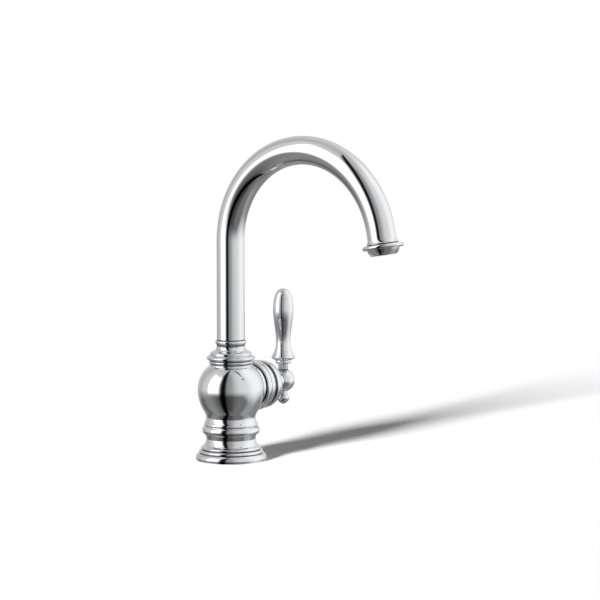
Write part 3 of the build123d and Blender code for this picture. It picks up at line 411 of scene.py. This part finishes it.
def bonnet():
    return turned("bonnet_turned", [
        (HOUSING_R + SNUG, 33.3), (16.5, 33.3, 0.1), (16.5, 36.3, 0.25), (18.9, 36.3, 0.1),
        (19.3, 36.7, 0.25), (17.8, 43.9, 0.4, 0.6), (15.6, 44.5, 0.25), (15.6, 44.9, 0.15),
        (8.8, 50.4, 0.3, 1.3), (8.4, 50.8, 0.25), (8.0, 52.0, 0.25, 0.2), (HUB_NECK_R + RUNNING, 52.0, 0.15),
        (HUB_NECK_R + RUNNING, 46.4, 0.1), (6.9, 45.0, 0.2), (11.4, 42.4, 0.2), (HOUSING_R + SNUG, 42.4, 0.1),
    ], on_valve, grooves=[(16, 17.2, 33.2, 36.4, 1)])


def handle_hub():
    """The neck and the ball on one axis, with a small hollow where they meet. The set screw's hole lies along
    Y."""
    meet = HUB_X - math.sqrt(HUB_R**2 - HUB_NECK_R**2)
    half_chord = math.hypot(HUB_R - HUB_NECK_R, HUB_X - meet)
    bow = HUB_R - math.sqrt(HUB_R**2 - (half_chord / 2) ** 2)
    piece = turned("handle_hub_turned", [
        (0, HUB_NECK_X), (HUB_NECK_R, HUB_NECK_X, 0.2), (HUB_NECK_R, meet, 0.3), (HUB_R, HUB_X, 0.0, bow),
        (0, HUB_X + HUB_R, 0.0, HUB_R * (1 - math.cos(math.pi / 4))),
    ], on_valve, ring=False)

    def on_screw(points):
        return np.stack([points[..., 0] + SET_SCREW_X, points[..., 2], points[..., 1] + VALVE_Z], -1)

    hole = outline([(0, 3.0), (SET_SCREW_R, 3.0), (SET_SCREW_R, 9.0), (0, 9.0)])
    cut(piece, surface("screw_hole", revolved(hole, 64, on_screw)))
    return piece


def lever_spacer():
    seat = math.sqrt(HUB_R**2 - 4.0**2)
    bore_seat = math.sqrt(HUB_R**2 - (STUD_R + SNUG) ** 2)
    return turned("lever_spacer_turned", [
        (STUD_R + SNUG, bore_seat), (4.0, seat, 0.05), (4.0, 13.9, 0.2), (6.0, 13.9, 0.25),
        (6.0, 16.5, 0.25, 0.4), (STUD_R + SNUG, 16.5, 0.1),
    ], on_hub, grooves=[(3.9, 4.1, 8.4, 9.2, 1), (3.9, 4.1, 8.4, 13.9, 0.45)])


def lever():
    """Baluster lever on its stud: flared foot, waist, long belly and round top, each a Bezier between the
    same stations as the solid's."""
    return turned("lever_turned", [
        (0, -14.0), (STUD_R, -14.0, 0.2), (STUD_R, 16.5, 0.05), (6.4, 16.5, 0.2),
        (9.7, 19.1, 0.0, ((9.3, 17.8), (9.7, 18.3))), (9.7, 19.1, 0.5),
        (5.8, 31.1, 0.6, ((8.0, 21.14), (5.8, 26.3))),
        (8.3, 57.5, 0.6, ((5.8, 40.6), (8.3, 48.52))),
        (0, 74.9, 0.0, ((8.3, 68.81), (5.4, 74.9))),
    ], on_hub, ring=False)


def finial():
    seat = math.sqrt(HUB_R**2 - 3.7**2)
    bore_seat = math.sqrt(HUB_R**2 - (STUD_R + SNUG) ** 2)
    return turned("finial_turned", [
        (0, -19.5), (5.1, -14.8, 0.5, 1.0), (5.1, -13.3, 0.5), (3.7, -11.8, 0.3), (3.7, -seat, 0.1),
        (STUD_R + SNUG, -bore_seat, 0.05), (STUD_R + SNUG, -14.3, 0.1), (0, -14.3, 0),
    ], on_hub, ring=False)


def thread_grid(radius, depth, pitch, low, high, bore, segments=96):
    """A threaded tube: the outside's radius falls by the depth along a rounded sawtooth of height over pitch
    less turn, and fades in at both ends. The bore comes back inside."""
    height = np.linspace(low, high, int((high - low) / pitch * 8) + 1)
    turn = np.linspace(0, 1, segments, endpoint=False)
    phase = height[:, None] / pitch - turn
    wave = 0.5 + 0.5 * np.cos(2 * math.pi * phase)
    fade = np.clip(np.minimum(height - low, high - height) / pitch, 0, 1)[:, None]
    outside = radius - depth * (1 - fade * wave**0.8)
    profile_z = np.concatenate([height, height[::-1]])
    reach = np.concatenate([outside, np.full_like(outside, bore)])
    return np.stack([
        reach * np.cos(2 * math.pi * turn),
        reach * np.sin(2 * math.pi * turn),
        profile_z[:, None] + 0 * turn,
    ], -1)


def shank_thread():
    grid = thread_grid(SHANK_R, 0.7, 1.34, -62.0, 9.0, SHANK_BORE_R)
    return surface("shank_thread_cut", grid, closed_rows=True)


def shank_head():
    return turned("shank_head_turned", [
        (SHANK_BORE_R, 9.0), (13.0, 9.0, 0.3), (13.0, 13.0, 0.2), (SHANK_R, 13.0, 0.2), (SHANK_R, 34.0, 0.4),
        (SHANK_BORE_R, 34.0, 0.3),
    ], segments=112, spacing=1.0)


def hexagon(name, across, bore, low, high, bevel):
    """A nut: the outside's radius at each angle is that of a hexagon with softened corners, held in at both
    ends by a cone, and the bore comes back inside."""
    turn = np.linspace(0, 2 * math.pi, 288, endpoint=False)
    flat = (turn + math.pi / 6) % (math.pi / 3) - math.pi / 6
    side = across / 2 / np.cos(flat)
    corner = across / 2 / math.cos(math.pi / 6)
    inset = np.array([bevel, 0.35 * bevel, 0.1 * bevel, 0])
    rise = np.array([0, 0.35 * bevel, 0.7 * bevel, 1.2 * bevel]) * 0.6
    between = np.linspace(low + rise[-1], high - rise[-1], 12)[1:-1]
    height = np.concatenate([low + rise, between, (high - rise)[::-1]])
    limit = corner - np.interp(np.minimum(height - low, high - height), rise, inset)[:, None]
    corner_softening, bore_chamfer = 0.15, 0.5
    outside = np.minimum(side, np.minimum(limit, corner - corner_softening))
    bore_r = np.full((len(height), len(turn)), bore)
    bore_r[[0, -1]] += bore_chamfer
    reach = np.concatenate([outside, bore_r[::-1]])
    z = np.concatenate([height, height[::-1]])[:, None] + 0 * turn
    piece = surface(name, np.stack([reach * np.cos(turn), reach * np.sin(turn), z], -1), closed_rows=True)
    piece.data.set_sharp_from_angle(angle=math.radians(35))
    return piece


def mounting_nut():
    return hexagon("mounting_nut_milled", 27.0, SHANK_R + SNUG, -42.5, -34.5, 2.0)


def adapter_body():
    return hexagon("adapter_hexagon_milled", 17.0, 3.4, -117.0, -110.0, 1.2)


def adapter_neck():
    return turned("adapter_neck_turned", [
        (4.78, -110.0), (6.6, -110.0, 0.1), (6.6, -105.0, 0.4), (4.78, -105.0, 0.3),
    ], segments=96)


def adapter_thread():
    grid = thread_grid(7.14, 0.55, 1.06, -127.0, -117.0, 3.4)
    return surface("adapter_thread_cut", grid, closed_rows=True)


def washer(name, inner, outer, low, high, rounding):
    """A flat ring with rounded edges."""
    return turned(name, [
        (inner, low), (outer, low, rounding), (outer, high, rounding), (inner, high, rounding),
    ], segments=112, spacing=1.5)


# Finishes

def hex_linear(code):
    """Linear colour of an sRGB hex value."""
    value = np.array([int(code[i:i + 2], 16) / 255 for i in (0, 2, 4)])
    return (*np.where(value <= 0.04045, value / 12.92, ((value + 0.055) / 1.055) ** 2.4), 1.0)


def add(tree, kind, links=(), **settings):
    """Adds a node. Settings name its properties, or its sockets by their place as s0, s1 and on, and links
    are (socket, node, output) to join."""
    node = tree.nodes.new(kind)
    for name, value in settings.items():
        if name[0] == "s" and name[1:].isdigit():
            node.inputs[int(name[1:])].default_value = value
        else:
            setattr(node, name, value)
    for socket, source, output in links:
        tree.links.new(source.outputs[output], node.inputs[socket])
    return node


def blank(name):
    """A material with only its shader, its output and the object's coordinates."""
    material = bpy.data.materials.new(name)
    material.use_nodes = True
    tree = material.node_tree
    tree.nodes.clear()
    out = add(tree, "ShaderNodeOutputMaterial")
    shader = add(tree, "ShaderNodeBsdfPrincipled")
    tree.links.new(shader.outputs[0], out.inputs[0])
    place = add(tree, "ShaderNodeTexCoord")
    return material, tree, shader, place


def finish(name, color, second, metallic, roughness, spread, grain_mm, bump, stretch=(1, 1, 1), ior=None):
    """A procedural finish: noise on the object's own coordinates mixes two near colours, moves the roughness
    by the spread and lifts a fine bump. The grain is its size in millimetres, and stretch draws it out along
    an axis."""
    material, tree, shader, place = blank(name)
    scale = add(tree, "ShaderNodeMapping", [(0, place, "Object")], s3=stretch)
    noise = add(tree, "ShaderNodeTexNoise", [(0, scale, 0)], s2=1000.0 / grain_mm, s3=3.0, s4=0.6)
    mix = add(tree, "ShaderNodeMix", [(0, noise, 0)], data_type="RGBA")
    mix.inputs[6].default_value, mix.inputs[7].default_value = hex_linear(color), hex_linear(second)
    rough = add(tree, "ShaderNodeMapRange", [(0, noise, 0)], s3=roughness - spread, s4=roughness + spread)
    relief = add(tree, "ShaderNodeBump", [(2, noise, 0)], s0=0.3, s1=bump * MM)
    tree.links.new(mix.outputs[2], shader.inputs["Base Color"])
    tree.links.new(rough.outputs[0], shader.inputs["Roughness"])
    tree.links.new(relief.outputs[0], shader.inputs["Normal"])
    shader.inputs["Metallic"].default_value = metallic
    if ior:
        shader.inputs["IOR"].default_value = ior
    return material


def polished_chrome():
    """Bright chrome plate over buffed brass: a cool mirror, with the faint haze of handling and the very
    shallow waves that buffing leaves, centimetres long. The inner corners and the grooves are made rougher,
    and their colour is darkened towards near black there as painted shade. How dark they are was set by the
    lines in the photograph."""
    haze_per_metre, waves_per_metre, wave_height = 55.0, 70.0, 0.02
    material, tree, shader, place = blank("polished_chrome_plate")
    haze = add(tree, "ShaderNodeTexNoise", [(0, place, "Object")], s2=haze_per_metre, s3=4.0, s4=0.65)
    rough = add(tree, "ShaderNodeMapRange", [(0, haze, 0)], s1=0.35, s2=0.75, s3=0.028, s4=0.055)
    tint = add(tree, "ShaderNodeMix", [(0, haze, 0)], data_type="RGBA")
    tint.inputs[6].default_value, tint.inputs[7].default_value = hex_linear("E9EAEC"), hex_linear("E2E4E7")
    waves = add(tree, "ShaderNodeTexNoise", [(0, place, "Object")], s2=waves_per_metre, s3=1.0, s4=0.4)
    relief = add(tree, "ShaderNodeBump", [(2, waves, 0)], s0=0.12, s1=wave_height * MM)
    # Painted shade: by the recess attribute, inner corners and grooves take a near-black colour in place of
    # the chrome's, and are also made rougher
    corner = add(tree, "ShaderNodeAttribute", attribute_name="recess")
    dullness_and_painted_shade = add(tree, "ShaderNodeMapRange", [(0, corner, "Fac")], s1=0.2, s2=0.8, s4=0.9)
    plate = add(tree, "ShaderNodeMix", [(0, dullness_and_painted_shade, 0), (6, tint, 2)], data_type="RGBA")
    plate.inputs[7].default_value = hex_linear("2E3034")
    dull = add(tree, "ShaderNodeMath", [(0, dullness_and_painted_shade, 0), (2, rough, 0)], operation="MULTIPLY_ADD", s1=0.2)
    tree.links.new(plate.outputs[2], shader.inputs["Base Color"])
    tree.links.new(dull.outputs[0], shader.inputs["Roughness"])
    tree.links.new(relief.outputs[0], shader.inputs["Normal"])
    shader.inputs["Metallic"].default_value = 1.0
    return material


finishes = {
    "polished_chrome": polished_chrome(),
    # Turned free-cutting brass, unplated: yellow, with fine tool marks drawn out round the axis
    "machined_brass": finish("turned_brass", "C9A35A", "B98F48", 1.0, 0.27, 0.08, 1.6, 0.05, (0.15, 0.15, 1)),
    # Drawn copper tube, dulled by handling
    "copper": finish("drawn_copper", "C77F5C", "A9664A", 1.0, 0.3, 0.1, 5.0, 0.03, (1, 1, 0.2)),
    # Moulded nitrile rubber: near black with a fine bloom
    "black_rubber": finish("moulded_rubber", "1B1B1C", "242425", 0.0, 0.72, 0.08, 0.8, 0.08, ior=1.52),
    # Moulded acetal: close-grained and slightly waxy
    "bearing_plastic": finish("moulded_acetal", "1F1F21", "29292B", 0.0, 0.42, 0.06, 1.2, 0.03, ior=1.48),
    # Glass-filled nylon of the cartridge and the jet former
    "cartridge_plastic": finish("glass_filled_nylon", "5F6972", "6B757E", 0.0, 0.48, 0.08, 0.7, 0.05,
                                ior=1.53),
    # Rolled stainless steel: long fine scratches one way
    "stainless_steel": finish("rolled_stainless", "A3A4A6", "8F9194", 1.0, 0.3, 0.09, 0.9, 0.03,
                              (0.06, 1, 1)),
    # Lapped alumina: warm white, smooth and close
    "ceramic": finish("lapped_alumina", "ECE8DE", "E3DFD4", 0.0, 0.16, 0.04, 0.5, 0.01, ior=1.76),
}

slot_of = {entry["node"]: entry["material_slot"] for entry in frame["record"]["subparts"]}
body_of = {node: body for body, nodes in frame["record"]["behaviour"]["bodies"].items() for node in nodes}
for node, solid in frame["nodes"].items():
    solid.data.materials.clear()
    solid.data.materials.append(finishes[slot_of[node]])


def dress(node, *pieces):
    """Puts finished pieces in the place of a solid, on its body and in its finish."""
    for piece in pieces:
        piece.data.materials.clear()
        piece.data.materials.append(finishes[slot_of[node]])
        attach(piece, body_of[node])
        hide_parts(node)


# Each of these functions has the name of the node that it dresses
for build in (base_flange, body_shell, spout_collar, spout_ferrule, spout_tube, outlet_collar,
              aerator_housing, boss_flange, bonnet, handle_hub, lever_spacer, lever, finial):
    dress(build.__name__, build())
dress("shank", shank_thread(), shank_head())
dress("mounting_nut", mounting_nut())
dress("inlet_adapter", adapter_neck(), adapter_body(), adapter_thread())
dress("rubber_washer", washer("rubber_washer_cut", SHANK_HOLE_R, 19.0, -33.0, -30.0, 0.4))
dress("steel_washer", washer("steel_washer_stamped", SHANK_HOLE_R, 19.0, -34.5, -33.0, 0.25))

# Camera: the photograph's long lens, a little above the spout's arch and looking down. It stands back, to the
# right and up from the origin by these distances.
PITCH = math.radians(6.029)
BACK = np.array([-0.7931, -0.6091, 0])
RIGHT = np.array([-BACK[1], BACK[0], 0])
CAMERA_BACK = 2281
CAMERA_RIGHT = 54.81
CAMERA_UP = 368.2
scene = bpy.context.scene
lens = bpy.data.cameras.new("camera")
lens.lens = 174.0
lens.sensor_width = 36.0
lens.clip_start, lens.clip_end = 0.05, 60.0
camera = bpy.data.objects.new("camera", lens)
scene.collection.objects.link(camera)
camera.location = (BACK * CAMERA_BACK + RIGHT * CAMERA_RIGHT + np.array([0, 0, CAMERA_UP])) * MM
camera.rotation_euler = (math.pi / 2 - PITCH, 0, math.atan2(BACK[0], -BACK[1]))
scene.camera = camera

# Studio: walls round the faucet at every bearing, which the chrome mirrors. Bearings are degrees round the
# upright axis from the photographer's side, positive to their right, and levels are how bright a wall looks
# in the chrome, from 0 to 255. The numbers of the three tables and of the softbox aren't a design of their
# own: they were fitted to the brightness of the chrome in the photograph, and from bearing -8 to 90 WALL
# follows the greys of the photograph's upright tube closely.
CHROME_MIRRORS = 0.8
WALL = [
    (-180, 196), (-150, 186), (-138, 172), (-125, 174), (-110, 193), (-98, 203), (-46, 203), (-30, 150),
    (-8, 138), (2, 148), (12, 175), (22, 194), (34, 208), (60, 216), (76, 231), (90, 243), (120, 242),
    (133, 231), (146, 212), (180, 196),
]
TABLE_SIDE = [
    (-180, 138), (-148, 134), (-130, 92), (-120, 96), (-104, 126), (-82, 130), (-68, 117), (-52, 92),
    (-30, 66), (-8, 62), (4, 72), (20, 100), (34, 110), (60, 104), (78, 142), (100, 149), (120, 129),
    (150, 128), (180, 138),
]
# A black upright flag between the softbox and the front wall: how much of the light it lets by
FLAG = [
    (-180, 1.0), (-45.5, 1.0), (-42.5, 0.66), (-39.5, 0.4), (-36, 0.1), (-33, 0.015), (-25, 0.01),
    (-22, 0.035), (-18.5, 0.14), (-15, 0.62), (-10.5, 1.0), (180, 1.0),
]
CEILING_LEVEL = 176
DEEP_LEVEL = 112
SOFTBOX_STRENGTH = 1.5
# The even light that matte surfaces take
PLAIN_STRENGTH = 0.19

# Where a thing starts and where it is full, in degrees of bearing or of height over the horizon
SOFTBOX_LEFT = (-88.5, -85.0)
SOFTBOX_RIGHT = (-28.0, -32.0)
SOFTBOX_FOOT = (-15.0, -8.0)
SOFTBOX_HEAD = (54.0, 44.0)
CEILING = (50.0, 86.0)
DEEP = (-52.0, -86.0)
# The table's side goes over into the walls between a low edge and a high one. The low edge is lowest round
# the right wall, whose light reaches further down.
HIGH_EDGE = -2.0
LOW_EDGE = (-38.0, -21.0)
RIGHT_WALL = 85.0
OFF_RIGHT_WALL = (15.0, 42.0)


def mirrored(level):
    """Linear strength of a wall that looks level (0 to 255, sRGB) in the chrome."""
    value = level / 255
    return (value / 12.92 if value <= 0.04045 else ((value + 0.055) / 1.055) ** 2.4) / CHROME_MIRRORS


world = bpy.data.worlds.new("studio")
world.use_nodes = True
scene.world = world
sky = world.node_tree
sky.nodes.clear()
toward = add(sky, "ShaderNodeTexCoord")
across, near, up = [
    add(sky, "ShaderNodeVectorMath", [(0, toward, "Generated")], operation="DOT_PRODUCT", s1=tuple(axis))
    for axis in (RIGHT, BACK, (0, 0, 1))
]
turn = add(sky, "ShaderNodeMath", [(0, across, "Value"), (1, near, "Value")], operation="ARCTAN2")
bearing = add(sky, "ShaderNodeMath", [(0, turn, 0)], operation="DEGREES")
lift = add(sky, "ShaderNodeMath", [(0, up, "Value")], operation="ARCSINE")
rise = add(sky, "ShaderNodeMath", [(0, lift, 0)], operation="DEGREES")


def fade(source, span):
    """A smooth step from 0 at the span's start to 1 at its end."""
    return add(sky, "ShaderNodeMapRange", [(0, source, 0)], s1=span[0], s2=span[1],
               interpolation_type="SMOOTHSTEP")


# The tables as ramps of grey strengths against the bearing
place = add(sky, "ShaderNodeMapRange", [(0, bearing, 0)], s1=-180.0, s2=180.0)
ramps = []
for stops in ([(degrees, mirrored(level)) for degrees, level in WALL],
              [(degrees, mirrored(level)) for degrees, level in TABLE_SIDE], FLAG):
    ramps.append(add(sky, "ShaderNodeValToRGB", [(0, place, 0)]))
    ramp = ramps[-1].color_ramp
    while len(ramp.elements) < len(stops):
        ramp.elements.new(0.5)
    for element, (degrees, strength) in zip(ramp.elements, stops):
        element.position = (degrees + 180) / 360
        element.color = (strength, strength, strength, 1)
walls, below, flag = ramps

# The softbox, upright on the left, is where all four of its edges let light by
box = fade(bearing, SOFTBOX_LEFT)
for source, span in ((bearing, SOFTBOX_RIGHT), (rise, SOFTBOX_FOOT), (rise, SOFTBOX_HEAD)):
    box = add(sky, "ShaderNodeMath", [(0, box, 0), (1, fade(source, span), 0)], operation="MULTIPLY")
ceiling, deep = fade(rise, CEILING), fade(rise, DEEP)
from_right = add(sky, "ShaderNodeMath", [(0, bearing, 0)], operation="SUBTRACT", s1=RIGHT_WALL)
off_right = add(sky, "ShaderNodeMath", [(0, from_right, 0)], operation="ABSOLUTE")
low_edge = add(sky, "ShaderNodeMapRange", [(0, off_right, 0)], s1=OFF_RIGHT_WALL[0], s2=OFF_RIGHT_WALL[1],
               s3=LOW_EDGE[0], s4=LOW_EDGE[1])
horizon = add(sky, "ShaderNodeMapRange", [(0, rise, 0), (1, low_edge, 0)], s2=HIGH_EDGE,
              interpolation_type="SMOOTHSTEP")

upper = add(sky, "ShaderNodeMix", [(0, ceiling, 0), (2, walls, 0)], data_type="FLOAT",
            s3=mirrored(CEILING_LEVEL))
upper = add(sky, "ShaderNodeMix", [(0, box, 0), (2, upper, 0)], data_type="FLOAT", s3=SOFTBOX_STRENGTH)
lower = add(sky, "ShaderNodeMix", [(0, deep, 0), (2, below, 0)], data_type="FLOAT", s3=mirrored(DEEP_LEVEL))
room = add(sky, "ShaderNodeMix", [(0, horizon, 0), (2, lower, 0), (3, upper, 0)], data_type="FLOAT")
room = add(sky, "ShaderNodeMath", [(0, room, 0), (1, flag, 0)], operation="MULTIPLY")
mirrored_room = add(sky, "ShaderNodeBackground", [(1, room, 0)], s0=(1, 1, 1, 1))
plain = add(sky, "ShaderNodeBackground", s0=(1, 1, 1, 1), s1=PLAIN_STRENGTH)
white = add(sky, "ShaderNodeBackground", s0=(1, 1, 1, 1), s1=1.0)
ray = add(sky, "ShaderNodeLightPath")
shiny = add(sky, "ShaderNodeMath", [(0, ray, "Is Glossy Ray"), (1, ray, "Is Transmission Ray")],
            operation="MAXIMUM")
light = add(sky, "ShaderNodeMixShader", [(0, shiny, 0), (1, plain, 0), (2, mirrored_room, 0)])
seen = add(sky, "ShaderNodeMixShader", [(0, ray, "Is Camera Ray"), (1, light, 0), (2, white, 0)])
add(sky, "ShaderNodeOutputWorld", [(0, seen, 0)])

# A pale floor with the worktop's hole in it, under the base, that goes over to the white backdrop with
# distance
WORKTOP_HOLE_R = 15.5
FLOOR_RINGS = (WORKTOP_HOLE_R, 60.0, 400.0, 2000.0, 20000.0)
FLOOR_FADE = (0.32, 0.8)
floor = surface("floor", revolved(np.array([[radius, 0.0] for radius in FLOOR_RINGS]), 96))
floor.data.polygons.foreach_set("use_smooth", np.zeros(len(floor.data.polygons), bool))
floor.visible_glossy = False
paper, sheet, matte, paper_place = blank("white_paper")
matte.inputs["Base Color"].default_value = hex_linear("FAFAFA")
matte.inputs["Roughness"].default_value = 1.0
matte.inputs["Specular IOR Level"].default_value = 0.0
reach = add(sheet, "ShaderNodeVectorMath", [(0, paper_place, "Object")], operation="LENGTH")
far = add(sheet, "ShaderNodeMapRange", [(0, reach, "Value")], s1=FLOOR_FADE[0], s2=FLOOR_FADE[1],
          interpolation_type="SMOOTHSTEP")
glow = add(sheet, "ShaderNodeEmission", s0=(1, 1, 1, 1), s1=1.0)
paper_out = next(node for node in sheet.nodes if node.type == "OUTPUT_MATERIAL")
blend = add(sheet, "ShaderNodeMixShader", [(0, far, 0), (1, matte, 0), (2, glow, 0)])
sheet.links.new(blend.outputs[0], paper_out.inputs[0])
floor.data.materials.append(paper)


def lamp(name, spread, bearing, rise, strength, receivers):
    """A distant lamp, spread degrees wide. It lights only its receivers and isn't mirrored."""
    data = bpy.data.lights.new(name, "SUN")
    data.angle, data.energy = math.radians(spread), strength
    made = bpy.data.objects.new(name, data)
    scene.collection.objects.link(made)
    turn, lift = math.radians(bearing), math.radians(rise)
    way = BACK * math.cos(turn) + RIGHT * math.sin(turn)
    made.rotation_euler = (math.pi / 2 - lift, 0, math.atan2(way[0], -way[1]))
    made.visible_glossy = False
    made.light_linking.receiver_collection = receivers


floor_only = bpy.data.collections.new("floor_only")
floor_only.objects.link(floor)
faucet_only = bpy.data.collections.new("faucet_only")
for shown in bpy.data.objects:
    if shown.type == "MESH" and shown is not floor:
        faucet_only.objects.link(shown)
# The floor's lamp was fitted to the photograph's shadow. A lamp lights the floor by its strength times the
# sine of its rise over pi.
FLOOR_LAMP_RISE = 16
FLOOR_LIGHT = 0.86
floor_strength = FLOOR_LIGHT * math.pi / math.sin(math.radians(FLOOR_LAMP_RISE))
lamp("floor_lamp", 11, -36, FLOOR_LAMP_RISE, floor_strength, floor_only)
lamp("left_lamp", 60, -60, 35, 1.5, faucet_only)
lamp("right_lamp", 60, 70, 30, 1.1, faucet_only)

scene.view_settings.view_transform = "Standard"
